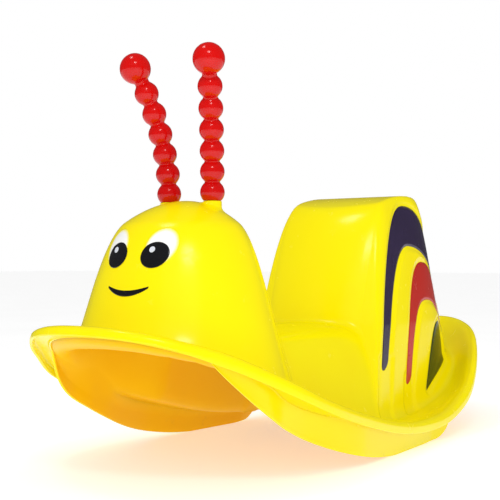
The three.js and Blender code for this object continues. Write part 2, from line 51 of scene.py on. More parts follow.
WALL = 4.0
RIM_POINTS = np.array([              # left half of the rim, tail to nose: edge x, y, crest z
    [0, 513, 186], [52, 503, 186], [101, 464, 180], [146, 405, 164], [180, 332, 123],
    [199, 258, 78], [207, 170, 50], [212, 83, 43], [219, -36, 52], [226, -170, 81],
    [229, -270, 110], [217, -352, 142], [171, -430, 180], [144, -465, 193],
    [104, -500, 205], [56, -520, 212], [0, -526, 214]], float)
MIDDLE_Y = (RIM_POINTS[0, 1] + RIM_POINTS[-1, 1]) / 2

LIP_CREST, LIP_DROP, LIP_DROP_NOSE = 12.0, 19.0, 13.0
LIP_THICK, LIP_ROOT, LIP_FALL = 4.5, 9.0, 0.2
LIP_NOSE_START, LIP_NOSE_END = -430.0, -500.0
GUTTER_SIDE, GUTTER_TAIL, GUTTER_RAMP = 10.0, 30.0, 34.0
GUTTER_TAIL_START, GUTTER_TAIL_END = 160.0, 380.0
OVERHANG = 18.0                      # from the rim's edge in to the skirt, beside the seat
OVERHANG_HEAD, OVERHANG_NOSE, OVERHANG_TAIL = 30.0, -22.0, -9.0      # changes along the length

ROCKER_FRONT_Y, ROCKER_REAR_Y = 0.0, 40.0      # the rocker stands level between these stations
ROCKER_FRONT_RADIUS, ROCKER_REAR_RADIUS, ROCKER_FLAT_DEPTH = 700.0, 1150.0, 0.8
HEEL_START, HEEL_RADIUS = 118.0, 66.0
CHIN_START, CHIN_RADIUS = -345.0, 165.0

HEAD_Y, HEAD_TOP, HEAD_CROWN = -298.0, 382.5, 0.0048
HEAD_SIDE_HEIGHT, HEAD_SIDE_RADIUS, HEAD_SIDE_SLOPE = 300.0, 111.0, 3.55
HEAD_SHOULDER_BLEND, HEAD_BASE_BLEND = 54.0, 60.0
HEAD_WIDTH, HEAD_DEPTH, HEAD_LEAN = 1.04, 0.93, 0.14

SEAT_HEIGHT, SEAT_CROWN, SEAT_HALF_WIDTH, SEAT_SQUARENESS = 193.0, 0.0011, 119.0, 11.0
SEAT_FRONT, SEAT_END, SEAT_RUN_OUT = -300.0, 270.0, 120.0

SHELL_Y, SHELL_CENTRE, SHELL_FRONT = 235.0, 230.0, 32.0
SHELL_HALF_WIDTH, SHELL_HALF_LENGTH, SHELL_SQUARENESS = 122.0, 184.0, 2.4
SHELL_FLAT_BACK = 45.0               # the rear wall is level across this far from the middle
SHELL_TOP, SHELL_SHOULDER, SHELL_KNEE = 414.5, 404.0, 190.0
SHELL_FRONT_LEAN, SHELL_SIDE_LEAN, SHELL_REAR_LEAN = 60.0, 23.0, 147.0
SHELL_CORNER_BLEND, SHELL_TOP_BLEND = 73.0, 120.0
SHELL_STEEP, SHELL_FILLET, SHELL_BOW = 1.7, 14.0, 21.0
SHELL_PEAK, SHELL_ARCH = 235.0, 16.0

GRIP_X, GRIP_Y, GRIP_ROOT = 39.4, -289.0, 382.0
GRIP_OUT, GRIP_FORWARD = 27.2, 45.0
BEAD_RADIUS, BALL_RADIUS, NECK_RADIUS = 17.5, 22.5, 10.5
BEAD_PITCH, BEADS, BALL_PITCH, FIRST_BEAD = 29.1, 6, 35.0, 12.0
GRIP_TOP = FIRST_BEAD + (BEADS - 1) * BEAD_PITCH + BALL_PITCH
GAP = 0.3

STRIPES = {                          # arches seen from the side, each point (y, z)
    "purple": {"outer": {"front": (66, 110), "crown": (210, 396.5), "rear": (380, 236),
                         "lean": (0.2, 0.61), "reach": 0.8, "shoulder": 0.34},
               "opening": {"front": (80.5, 79), "crown": (204, 324), "rear": (364, 188),
                           "lean": (0.23, 0.27), "reach": 0.67, "shoulder": 0.38},
               "flute": [(66, 135), (100, 135), (82, 40), (52, 40)]},
    "red": {"outer": {"front": (151.5, 80), "crown": (251.5, 296), "rear": (362, 180),
                      "lean": (0.25, 0.4), "reach": 0.76, "shoulder": 0.41},
            "opening": {"front": (163.5, 53), "crown": (257.5, 227.5), "rear": (352, 130),
                        "lean": (0.27, 0.19), "reach": 0.79, "shoulder": 0.44},
            "flute": [(150, 100), (178, 100), (164, 36), (140, 36)]},
    "green": {"outer": {"front": (230, 68), "crown": (316, 187), "rear": (330, 116),
                        "lean": (0.42, -0.1), "reach": 0.82, "shoulder": 0.36},
              "opening": None, "flute": None},
}
GROOVE_DEPTH = 3.6                   # the painted arches lie in shallow grooves
GROOVE_MARGIN = 1.5
GROOVE_RAMP = 9.0
FILM_TOP, FILM_EDGE, FILM_BOTTOM = 0.5, 0.12, -0.3      # a film's heights above its surface


# ------------------------------------------------------------------ small helpers

def ramp(value, start, end):
    t = np.clip((value - start) / (end - start), 0, 1)
    return t * t * (3 - 2 * t)


def smooth_max(a, b, width):
    overlap = np.maximum(width - np.abs(a - b), 0) / width
    return np.maximum(a, b) + overlap * overlap * width / 4


def smooth_min(a, b, width):
    return -smooth_max(-a, -b, width)


def arc_rise(reach, radius):
    return radius - np.sqrt(np.maximum(radius * radius - reach * reach, 0))


# ------------------------------------------------------------------ the rim

def catmull_rom(points, count):
    """A closed centripetal Catmull-Rom curve, sampled evenly in its parameter."""
    size = len(points)
    t = np.arange(count) / count * size
    i = np.floor(t).astype(int)
    w = (t - i)[:, None]
    p0, p1, p2, p3 = (points[(i + k) % size] for k in (-1, 0, 1, 2))
    d0, d1, d2 = (np.sum((b - a) ** 2, axis=1)[:, None] ** 0.25
                  for a, b in ((p0, p1), (p1, p2), (p2, p3)))
    m1 = ((p1 - p0) / d0 - (p2 - p0) / (d0 + d1) + (p2 - p1) / d1) * d1
    m2 = ((p2 - p1) / d1 - (p3 - p1) / (d1 + d2) + (p3 - p2) / d2) * d1
    return (p1 + m1 * w + (3 * p2 - 3 * p1 - 2 * m1 - m2) * w ** 2
            + (2 * p1 - 2 * p2 + m1 + m2) * w ** 3)


RIM_SAMPLES = 2400
RIM = catmull_rom(np.vstack([RIM_POINTS, RIM_POINTS[1:-1][::-1] * [-1, 1, 1]]), RIM_SAMPLES)
HALF_RIM = RIM[:RIM_SAMPLES // 2 + 1]

CELL = 2.0                           # spacing of the grid that holds the distance to the rim
GRID_WIDTH, GRID_START, GRID_END = 236, -530, 518


def distance_grid():
    """Distance to the rim's edge on a grid over the left half."""
    xs = np.arange(0, GRID_WIDTH, CELL)
    ys = np.arange(GRID_START, GRID_END, CELL)
    x, y = np.meshgrid(xs, ys)
    nearest = np.full(x.shape, np.inf)
    for a, b in zip(HALF_RIM[:-1:6, :2], HALF_RIM[6::6, :2]):
        step = b - a
        t = np.clip(((x - a[0]) * step[0] + (y - a[1]) * step[1]) / (step @ step), 0, 1)
        away = (x - a[0] - t * step[0]) ** 2 + (y - a[1] - t * step[1]) ** 2
        nearest = np.minimum(nearest, away)
    return np.sqrt(nearest)


DISTANCE = distance_grid()


def distance_to_rim(x, y):
    column = np.clip(np.abs(x) / CELL, 0, DISTANCE.shape[1] - 1.001)
    row = np.clip((y - GRID_START) / CELL, 0, DISTANCE.shape[0] - 1.001)
    i, j = row.astype(int), column.astype(int)
    v, u = row - i, column - j
    return ((DISTANCE[i, j] * (1 - u) + DISTANCE[i, j + 1] * u) * (1 - v)
            + (DISTANCE[i + 1, j] * (1 - u) + DISTANCE[i + 1, j + 1] * u) * v)


def rim_height(y):
    return np.interp(-y, -HALF_RIM[:, 1], HALF_RIM[:, 2])


# ------------------------------------------------------------------ the top skin as a height

def tray_height(x, y):
    depth = GUTTER_SIDE + (GUTTER_TAIL - GUTTER_SIDE) * ramp(y, GUTTER_TAIL_START, GUTTER_TAIL_END)
    inward = ramp(distance_to_rim(x, y), LIP_CREST, LIP_CREST + GUTTER_RAMP)
    return rim_height(y) - depth * inward


def seat_rise(x, y):
    along = (ramp(y, SEAT_FRONT - SEAT_RUN_OUT, SEAT_FRONT)
             * (1 - ramp(y, SEAT_END, SEAT_END + SEAT_RUN_OUT)))
    return along * np.exp(-np.abs(x / SEAT_HALF_WIDTH) ** SEAT_SQUARENESS)


def head_height(x, y):
    back = y - HEAD_Y
    across = x * HEAD_DEPTH / HEAD_WIDTH
    spread = HEAD_DEPTH ** 2 - HEAD_LEAN ** 2
    root = np.sqrt((HEAD_LEAN * back) ** 2 + spread * (back * back + across * across))
    radius = (HEAD_LEAN * back + root) / spread
    crown = HEAD_TOP - HEAD_CROWN * radius * radius
    flank = HEAD_SIDE_HEIGHT + (HEAD_SIDE_RADIUS - radius) * HEAD_SIDE_SLOPE
    return smooth_min(crown, flank, HEAD_SHOULDER_BLEND)


def shell_depth(x, y):
    """How far a point lies inside the shell's sides and rounded rear, and the wall's lean."""
    along = np.maximum(y - SHELL_CENTRE, 0) / SHELL_HALF_LENGTH
    across = (x ** 4 + SHELL_FLAT_BACK ** 4) ** 0.25 / SHELL_HALF_WIDTH
    size = np.maximum((along ** SHELL_SQUARENESS + across ** SHELL_SQUARENESS)
                      ** (1 / SHELL_SQUARENESS), 0.1)
    slope_y = (along / size) ** (SHELL_SQUARENESS - 1) / SHELL_HALF_LENGTH
    slope_x = (across / size) ** (SHELL_SQUARENESS - 1) / SHELL_HALF_WIDTH
    steep = np.maximum(slope_x ** 2 + slope_y ** 2, 1e-12)
    lean = SHELL_SIDE_LEAN + (SHELL_REAR_LEAN - SHELL_SIDE_LEAN) * slope_y ** 2 / steep
    return (1 - size) / np.sqrt(steep), lean


def shell_height(x, y, floor):
    """Walls that lean inward, less below the knee, under a rounded roof."""
    depth, lean = shell_depth(x, y)
    front = y - SHELL_FRONT - SHELL_BOW * (x / 100) ** 2
    rise = SHELL_SHOULDER - SHELL_KNEE
    climb = smooth_min(rise * depth / lean, rise * front / SHELL_FRONT_LEAN, SHELL_CORNER_BLEND)
    start = floor + SHELL_FILLET
    walls = np.maximum(SHELL_KNEE, start) + np.where(climb > 0, climb, SHELL_STEEP * climb)
    facing = ramp(depth / lean - front / SHELL_FRONT_LEAN, -0.2, 0.2)      # 1 on the front panel
    run_per_rise = (lean + (SHELL_FRONT_LEAN - lean) * facing) / (SHELL_STEEP * rise)
    outside = np.clip((walls - start) * run_per_rise, -SHELL_FILLET, 0)
    foot = floor + arc_rise(SHELL_FILLET + outside, SHELL_FILLET)
    roof = SHELL_TOP - SHELL_ARCH * ((y - SHELL_PEAK) / 100) ** 2
    return smooth_min(np.where(walls > start, walls, foot), roof, SHELL_TOP_BLEND)


def top_height(x, y):
    tray = tray_height(x, y)
    seat = tray + (SEAT_HEIGHT - SEAT_CROWN * x * x - tray) * seat_rise(x, y)
    floor = smooth_max(seat, head_height(x, y), HEAD_BASE_BLEND)
    shell = shell_height(x, y, floor)
    return np.where(y > SHELL_FRONT - SHELL_FILLET, shell, floor)


def top_normal(x, y):
    step = 0.5
    slope_x = (top_height(x + step, y) - top_height(x - step, y)) / (2 * step)
    slope_y = (top_height(x, y + step) - top_height(x, y - step)) / (2 * step)
    normal = np.stack([-slope_x, -slope_y, np.ones_like(slope_x)], -1)
    return normal / np.linalg.norm(normal, axis=-1, keepdims=True)


# ------------------------------------------------------------------ painted outlines

def bezier(a, b, c, d, t):
    t = t[:, None]
    return ((1 - t) ** 3 * a + 3 * (1 - t) ** 2 * t * b + 3 * (1 - t) * t ** 2 * c + t ** 3 * d)


def arch_curve(arch, count=200):
    """Points along an arch from its front foot over the crown to its rear foot."""
    crown = np.array(arch["crown"], float)
    t = np.linspace(0, 1, count)
    halves = []
    for foot, lean in ((arch["front"], arch["lean"][0]), (arch["rear"], -arch["lean"][1])):
        foot = np.array(foot, float)
        rise = arch["reach"] * (crown[1] - foot[1])
        leg = foot + np.array([lean * rise, rise])
        shoulder = np.array([crown[0] + arch["shoulder"] * (foot[0] - crown[0]), crown[1]])
        halves.append(bezier(foot, leg, shoulder, crown, t))
    return np.vstack([halves[0], halves[1][::-1][1:]])


def above_line(curve, a, b):
    """The part of a curve that lies above the straight line from a to b."""
    side = (b[0] - a[0]) * (curve[:, 1] - a[1]) - (b[1] - a[1]) * (curve[:, 0] - a[0])
    return curve[side > 0]


def resampled(curve, count):
    lengths = np.concatenate([[0], np.cumsum(np.linalg.norm(np.diff(curve, axis=0), axis=1))])
    at = np.linspace(0, lengths[-1], count)
    return np.stack([np.interp(at, lengths, curve[:, k]) for k in range(curve.shape[1])], -1)


def stripe_edges(stripe, count=150):
    """Two matching edges of a painted stripe, from its front foot to its rear foot."""
    outer = arch_curve(stripe["outer"])
    if stripe["opening"]:
        inner = above_line(arch_curve(stripe["opening"]), outer[0], outer[-1])
        return resampled(outer, count), resampled(inner, count)
    crown = len(outer) // 2
    right = np.vstack([np.linspace(outer[0], outer[-1], 60), outer[crown:][::-1][1:]])
    return resampled(outer[:crown + 1], count), resampled(right, count)


def distance_to_polygon(points, polygon):
    """Signed distance to a polygon, positive inside."""
    nearest = np.full(len(points), np.inf)
    inside = np.zeros(len(points), bool)
    for a, b in zip(polygon, np.roll(polygon, -1, axis=0)):
        step = b - a
        length = step @ step
        if length < 1e-12:
            continue
        t = np.clip(((points - a) @ step) / length, 0, 1)
        nearest = np.minimum(nearest, np.sum((points - a - t[:, None] * step) ** 2, axis=1))
        crosses = (a[1] > points[:, 1]) != (b[1] > points[:, 1])
        with np.errstate(divide="ignore", invalid="ignore"):
            edge_y = a[0] + (points[:, 1] - a[1]) * step[0] / step[1]
        inside ^= crosses & (points[:, 0] < edge_y)
    return np.where(inside, 1, -1) * np.sqrt(nearest)


def groove_polygons():
    polygons = []
    for stripe in STRIPES.values():
        left, right = stripe_edges(stripe, 60)
        polygons.append(np.vstack([left, right[::-1]]))
        if stripe["flute"]:
            polygons.append(np.array(stripe["flute"], float))
    return polygons


GROOVES = groove_polygons()


def groove_depth(y, z):
    points = np.stack([y, z], -1)
    away = np.full(len(points), -np.inf)
    for polygon in GROOVES:
        away = np.maximum(away, distance_to_polygon(points, polygon))
    return GROOVE_DEPTH * ramp(away, -GROOVE_MARGIN - GROOVE_RAMP, -GROOVE_MARGIN)


def solve(height, low, high):
    """The argument between low and high where a rising function reaches zero."""
    for _ in range(40):
        middle = (low + high) / 2
        below = height(middle) < 0
        low, high = np.where(below, middle, low), np.where(below, high, middle)
    return (low + high) / 2


def flank_point(y, z, lift):
    """A point on the shell's left flank seen from the side, lifted off its grooved surface."""
    x = solve(lambda x: z - top_height(x, y), np.zeros_like(y), np.full_like(y, 165.0))
    normal = top_normal(x, y)
    return np.stack([x, y, z], -1) + normal * (lift - groove_depth(y, z))[:, None]


def face_point(x, z, lift):
    """A point on the front of the head seen from the front."""
    y = solve(lambda y: top_height(x, y) - z, np.full_like(x, -505.0), np.full_like(x, HEAD_Y))
    return np.stack([x, y, z], -1) + top_normal(x, y) * np.reshape(lift, (-1, 1))


# ------------------------------------------------------------------ meshes

def to_frame(points):
    return (np.asarray(points, float) - [0, MIDDLE_Y, 0]) / 1000


def grid_faces(columns, rows, wrap):
    """Quads of a grid whose vertex (column, row) has the index column * rows + row."""
    last = columns if wrap else columns - 1
    c, r = np.meshgrid(np.arange(last), np.arange(rows - 1), indexing="ij")
    n = (c + 1) % columns
    corners = [c * rows + r, n * rows + r, n * rows + r + 1, c * rows + r + 1]
    return np.stack(corners, -1).reshape(-1, 4)


def make_mesh(name, points, faces, materials, weld=0.01, slots=None):
    mesh = bpy.data.meshes.new(name)
    mesh.from_pydata(to_frame(points).tolist(), [], [list(map(int, f)) for f in faces])
    for material in materials:
        mesh.materials.append(material)
    if slots is not None:
        mesh.polygons.foreach_set("material_index", slots)
    shape = bmesh.new()
    shape.from_mesh(mesh)
    bmesh.ops.remove_doubles(shape, verts=shape.verts, dist=weld / 1000)
    bmesh.ops.recalc_face_normals(shape, faces=shape.faces)
    shape.to_mesh(mesh)
    shape.free()
    mesh.polygons.foreach_set("use_smooth", [True] * len(mesh.polygons))
    piece = bpy.data.objects.new(name, mesh)
    bpy.context.collection.objects.link(piece)
    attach(piece, "root")
    return piece


def mirrored(points):
    return np.asarray(points) * [-1, 1, 1]


# ------------------------------------------------------------------ materials

def node_material(name):
    material = bpy.data.materials.new(name)
    material.use_nodes = True
    tree = material.node_tree
    tree.nodes.clear()
    output = tree.nodes.new("ShaderNodeOutputMaterial")
    shader = tree.nodes.new("ShaderNodeBsdfPrincipled")
    tree.links.new(shader.outputs[0], output.inputs["Surface"])
    place = tree.nodes.new("ShaderNodeTexCoord")
    return material, tree, shader, place.outputs["Object"]


def noise(tree, place, scale, detail=2.0, roughness=0.5):
    node = tree.nodes.new("ShaderNodeTexNoise")
    node.inputs["Scale"].default_value = scale
    node.inputs["Detail"].default_value = detail
    node.inputs["Roughness"].default_value = roughness
    tree.links.new(place, node.inputs["Vector"])
    return node.outputs["Fac"]


def span(tree, value, low, high, start=0.0, end=1.0):
    """Maps a value between low and high onto start to end."""
    node = tree.nodes.new("ShaderNodeMapRange")
    node.interpolation_type = "SMOOTHSTEP"
    for name, number in (("From Min", low), ("From Max", high), ("To Min", start), ("To Max", end)):
        node.inputs[name].default_value = number
    tree.links.new(value, node.inputs["Value"])
    return node.outputs["Result"]


def mix(tree, factor, a, b):
    node = tree.nodes.new("ShaderNodeMix")
    node.data_type = "RGBA"
    for socket, colour in ((node.inputs[6], a), (node.inputs[7], b)):
        if isinstance(colour, tuple):
            socket.default_value = (*colour, 1)
        else:
            tree.links.new(colour, socket)
    tree.links.new(factor, node.inputs[0])
    return node.outputs[2]


def maths(tree, operation, a, b=0.0):
    node = tree.nodes.new("ShaderNodeMath")
    node.operation = operation
    for socket, value in zip(node.inputs, (a, b)):
        if isinstance(value, (int, float)):
            socket.default_value = value
        else:
            tree.links.new(value, socket)
    return node.outputs[0]


def bumps(tree, shader, *layers):
    """Stacks bump layers, each (height, strength, distance in metres)."""
    normal = None
    for height, strength, distance in layers:
        node = tree.nodes.new("ShaderNodeBump")
        node.inputs["Strength"].default_value = strength
        node.inputs["Distance"].default_value = distance
        tree.links.new(height, node.inputs["Height"])
        if normal:
            tree.links.new(normal, node.inputs["Normal"])
        normal = node.outputs["Normal"]
    tree.links.new(normal, shader.inputs["Normal"])


def height_of(tree, place):
    node = tree.nodes.new("ShaderNodeSeparateXYZ")
    tree.links.new(place, node.inputs[0])
    return node.outputs["Z"]


def glossy_plastic(name, colour, shade, rough=0.2, mirror=0.5, low_shade=0.0):
    """Moulded plastic: orange peel, faint flow marks, scuffs, and painted shade low down: darker
    and browner in patches near the floor.
    """
    material, tree, shader, place = node_material(name)
    flow = noise(tree, place, 5, 3)
    grain = noise(tree, place, 900, 2)
    peel = noise(tree, place, 130, 1)
    scuffs = span(tree, noise(tree, place, 38, 6, 0.7), 0.56, 0.72)
    paint = mix(tree, span(tree, flow, 0.35, 0.7), colour, shade)
    # painted shade: within 5 cm of the floor the colour turns darker and browner, in patches
    if low_shade:
        low = span(tree, height_of(tree, place), 0.0, 0.05, 1.0, 0.0)
        low_shade_patches = maths(tree, "MULTIPLY", low, scuffs)
        paint = mix(tree, maths(tree, "MULTIPLY", low_shade_patches, low_shade), paint, (0.30, 0.24, 0.10))
    tree.links.new(paint, shader.inputs["Base Color"])
    worn_gloss = maths(tree, "MULTIPLY", scuffs, 0.14)
    fine = maths(tree, "MULTIPLY", grain, 0.05)
    gloss = maths(tree, "ADD", maths(tree, "ADD", worn_gloss, fine), rough - 0.03)
    tree.links.new(gloss, shader.inputs["Roughness"])
    shader.inputs["IOR"].default_value = 1.49
    shader.inputs["Specular IOR Level"].default_value = mirror
    bumps(tree, shader, (peel, 0.06, 0.001), (grain, 0.05, 0.0002))
    return material


def brushed_metal(name, colour, rough):
    material, tree, shader, place = node_material(name)
    streaks = noise(tree, place, 420, 4, 0.7)
    stains = span(tree, noise(tree, place, 60, 4), 0.45, 0.75)
    tint = tuple(0.55 * c for c in colour)
    tree.links.new(mix(tree, maths(tree, "MULTIPLY", stains, 0.5), colour, tint),
                   shader.inputs["Base Color"])
    tree.links.new(span(tree, streaks, 0.2, 0.8, rough - 0.08, rough + 0.12),
                   shader.inputs["Roughness"])
    shader.inputs["Metallic"].default_value = 1.0
    bumps(tree, shader, (streaks, 0.25, 0.0002))
    return material


def airbrushed_white(name, centre, radii, paint, ground):
    """White that fades into the body's colour toward the rim of an ellipse, as sprayed."""
    material, tree, shader, place = node_material(name)
    parts = tree.nodes.new("ShaderNodeSeparateXYZ")
    tree.links.new(place, parts.inputs[0])
    squares = []
    for coordinate, middle, radius in zip("XZ", centre, radii):
        offset = maths(tree, "SUBTRACT", parts.outputs[coordinate], middle)
        share = maths(tree, "DIVIDE", offset, radius)
        squares.append(maths(tree, "MULTIPLY", share, share))
    size = maths(tree, "ADD", *squares)
    speckle = maths(tree, "MULTIPLY", noise(tree, place, 500, 2), 0.12)
    faded = span(tree, maths(tree, "ADD", size, speckle), 0.62, 1.06)
    tree.links.new(mix(tree, faded, paint, ground), shader.inputs["Base Color"])
    shader.inputs["Roughness"].default_value = 0.24
    bumps(tree, shader, (noise(tree, place, 130, 1), 0.06, 0.001),
          (noise(tree, place, 900, 2), 0.05, 0.0002))
    return material


YELLOW_LINEAR = (0.955, 0.83, 0.0)
YELLOW_SHADE = (0.95, 0.79, 0.0)
# painted shade and bounced light: the underside is the same yellow plastic, coloured orange here
# for its shade and the light bounced inside the hollow
INSIDE_SHADE_ORANGE = (0.97, 0.60, 0.0)

# the body's yellow gets patchy painted shade near the floor
YELLOW = glossy_plastic("body_yellow", YELLOW_LINEAR, YELLOW_SHADE, 0.19, 0.25, low_shade=0.35)
INSIDE_SHADE = glossy_plastic("body_inside_shade", INSIDE_SHADE_ORANGE, (0.95, 0.55, 0.0), 0.38, 0.12, low_shade=0.2)
RED = glossy_plastic("handle_red", (0.62, 0.003, 0.002), (0.54, 0.002, 0.002), 0.15, 0.4)
BLACK = glossy_plastic("film_black", (0.004, 0.004, 0.005), (0.008, 0.008, 0.010), 0.16)
GLINT = glossy_plastic("film_glint", (0.75, 0.78, 0.85), (0.65, 0.68, 0.75), 0.3)
PURPLE = glossy_plastic("film_purple", (0.030, 0.018, 0.060), (0.024, 0.014, 0.045), 0.22)
STRIPE_RED = glossy_plastic("film_red", (0.56, 0.024, 0.014), (0.50, 0.018, 0.010), 0.22)
GREEN = glossy_plastic("film_green", (0.030, 0.055, 0.008), (0.024, 0.045, 0.006), 0.22)
STEEL = brushed_metal("fastener_steel", (0.52, 0.53, 0.55), 0.3)
BRASS = brushed_metal("insert_brass", (0.62, 0.43, 0.14), 0.28)


# ------------------------------------------------------------------ the moulded body

LINES = 300        # lines of vertices per side
OUTER_ROWS = 150
INNER_ROWS = 44
CURL_ROWS, UNDER_ROWS, SKIRT_ROWS, BACK_ROWS = 22, 20, 14, 9
DENSER = 1.9                         # how much closer together the lines are beside the shell
LINE_SAMPLES = 320


def stations():
    """Points of the half rim, closer together beside the shell, and the way inward from each."""
    middle = np.clip(HALF_RIM[:, 1], HEAD_Y, SHELL_Y)
    rise = np.abs(np.diff(top_height(np.zeros_like(middle), middle)))
    length = np.linalg.norm(np.diff(HALF_RIM, axis=0), axis=1)
    beside = np.where(HALF_RIM[1:, 1] > SHELL_FRONT - 20, DENSER, 1.0)
    running = np.concatenate([[0], np.cumsum(length * beside + rise)])
    index = np.arange(len(running))
    at = np.interp(np.linspace(0, running[-1], LINES + 1), running, index)
    edge = np.stack([np.interp(at, index, HALF_RIM[:, k]) for k in range(3)], -1)
    tangent = np.gradient(HALF_RIM, axis=0)
    tangent = np.stack([np.interp(at, index, tangent[:, k]) for k in range(2)], -1)
    inward = np.stack([tangent[:, 1], -tangent[:, 0]], -1)
    inward /= np.linalg.norm(inward, axis=1)[:, None]
    edge[0, 0] = edge[-1, 0] = 0
    inward[0], inward[-1] = (0, -1), (0, 1)
    return edge, inward


EDGE, INWARD = stations()


def inset(distance):
    return EDGE[:, :2] + INWARD * np.reshape(distance, (-1, 1))


def skin_lines(end_inset, rows):
    """Plan positions of evenly spaced points on every line, from the middle to the rim."""
    start = np.stack([np.zeros(len(EDGE)), np.clip(EDGE[:, 1], HEAD_Y, SHELL_Y)], -1)
    t = np.linspace(0, 1, LINE_SAMPLES)
    way = start[:, None] + (inset(end_inset) - start)[:, None] * t[None, :, None]
    high = top_height(way[..., 0], way[..., 1])
    steps = np.sqrt(np.sum(np.diff(way, axis=1) ** 2, axis=2) + np.diff(high, axis=1) ** 2)
    running = np.concatenate([np.zeros((len(EDGE), 1)), np.cumsum(steps, axis=1)], axis=1)
    even = np.stack([np.interp(np.linspace(0, run[-1], rows + 1), run, t) for run in running])
    return start[:, None] + (inset(end_inset) - start)[:, None] * even[..., None]


def skin(end_inset, rows):
    """Points of the top skin and its normals there."""
    plan = skin_lines(end_inset, rows)
    x, y = plan[..., 0], plan[..., 1]
    return np.stack([x, y, top_height(x, y)], -1), top_normal(x, y)


def grooved(points, normals):
    """Sinks the painted arches into the flanks of the shell."""
    x, y, z = points[..., 0], points[..., 1], points[..., 2]
    flank = (y > 40) & (x > 30) & (normals[..., 0] > 0.35)
    depth = np.zeros(x.shape)
    depth[flank] = groove_depth(y[flank], z[flank])
    return points - normals * (depth * ramp(normals[..., 0], 0.35, 0.6))[..., None]


def overhang(y):
    """How far in from the rim's edge the skirt stands."""
    return (OVERHANG + OVERHANG_HEAD * ramp(y, -130, -290) + OVERHANG_NOSE * ramp(y, -310, -420)
            + OVERHANG_TAIL * ramp(y, 100, 165))


def rocker_edge(y):
    """Height of the skirt's bottom edge, far above everything where there is no skirt."""
    radius = np.where(y < ROCKER_FRONT_Y, ROCKER_FRONT_RADIUS, ROCKER_REAR_RADIUS)
    arc = arc_rise(y - np.clip(y, ROCKER_FRONT_Y, ROCKER_REAR_Y), radius)
    heel = arc_rise(np.clip(y - HEEL_START, 0, HEEL_RADIUS), HEEL_RADIUS)
    chin = arc_rise(np.maximum(CHIN_START - y, 0), CHIN_RADIUS)
    edge = np.maximum(arc + heel + chin - ROCKER_FLAT_DEPTH, 0)
    return np.where(y > HEEL_START + HEEL_RADIUS, 1e6, edge)


def profile(places, count):
    """A smooth line of points through (inset, height) places, one line per station."""
    shape = EDGE[:, 0].shape
    controls = np.stack([np.stack([np.broadcast_to(np.asarray(v, float), shape) for v in place], -1)
                         for place in places], 1)
    t = np.linspace(0, controls.shape[1] - 1, count)
    i = np.minimum(t.astype(int), controls.shape[1] - 2)
    w = (t - i)[None, :, None]
    before = controls[:, np.maximum(i - 1, 0)]
    a, b = controls[:, i], controls[:, i + 1]
    after = controls[:, np.minimum(i + 2, controls.shape[1] - 1)]
    return 0.5 * (2 * a + (b - before) * w + (2 * before - 5 * a + 4 * b - after) * w ** 2
                  + (3 * a - before - 3 * b + after) * w ** 3)


def placed(line):
    """Turns (inset, height) lines into points."""
    plan = EDGE[:, None, :2] + INWARD[:, None] * line[..., :1]
    return np.concatenate([plan, line[..., 1:]], -1)


def lip_and_skirt():
    y = EDGE[:, 1]
    crest = rim_height(y)
    root = overhang(y)
    under = crest - LIP_ROOT - LIP_FALL * (root - LIP_THICK - 3)
    drop = LIP_DROP + (LIP_DROP_NOSE - LIP_DROP) * ramp(y, LIP_NOSE_START, LIP_NOSE_END)
    tip = crest - drop
    bottom = np.minimum(rocker_edge(inset(root)[:, 1]), under - 4)
    curl = profile([(9, crest - 0.2), (6, crest - 1.0), (3.2, crest - 2.8), (1.2, crest - 5.8),
                    (0.2, crest - 10), (0, tip + 2.5), (0.5, tip + 0.7), (1.6, tip + 0.1)],
                   CURL_ROWS)
    inner = profile([(LIP_THICK - 1.2, tip + 0.1), (LIP_THICK - 0.2, tip + 0.8),
                     (LIP_THICK, tip + 2.5), (LIP_THICK + 0.8, crest - LIP_ROOT - 2.5),
                     (LIP_THICK + 3.5, crest - LIP_ROOT), (root - 3.5, under + 0.5),
                     (root - 0.8, under - 0.6), (root, under - 3)], UNDER_ROWS)
    height = under - 3 - bottom
    skirt = profile([(root, under - 3), (root + 0.03 * height, under - 3 - 0.4 * height),
                     (root + 0.02 * height, bottom + 0.25 * height), (root, bottom + 0.8),
                     (root + 0.8, bottom)], SKIRT_ROWS)[:, 1:]
    back = profile([(root + WALL - 0.8, bottom), (root + WALL, bottom + 0.8),
                    (root + WALL + 0.02 * height, bottom + 0.25 * height),
                    (root + WALL + 0.03 * height, under - 3 - 0.4 * height)], BACK_ROWS)
    return np.concatenate([placed(part) for part in (curl, inner, skirt, back)], axis=1), root


def body():
    lip, root = lip_and_skirt()
    outer, outer_normal = skin(LIP_CREST, OUTER_ROWS)
    inner, inner_normal = skin(root + WALL + 5, INNER_ROWS)
    beside = ramp(inner_normal[..., 0], 0.0, 0.2) * ramp(inner[..., 1], 20, 50)
    inner = inner - inner_normal * (WALL + GROOVE_DEPTH * beside)[..., None]
    inner[:, 0, 0] = 0
    line = np.concatenate([grooved(outer, outer_normal), lip, inner[:, ::-1]], axis=1)
    ring = np.concatenate([line, mirrored(line[::-1][1:-1])])
    columns, rows = ring.shape[:2]
    faces = grid_faces(columns, rows, True)
    row = faces[:, 0] % rows
    # faces on the hollow underside take the orange painted-shade material
    inside = (row > OUTER_ROWS + CURL_ROWS + UNDER_ROWS + SKIRT_ROWS - 1).astype(int)
    return make_mesh("snail_body", ring.reshape(-1, 3), faces, [YELLOW, INSIDE_SHADE], 0.02, inside)


body_piece = body()
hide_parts("body_shell")


# ------------------------------------------------------------------ lathed pieces

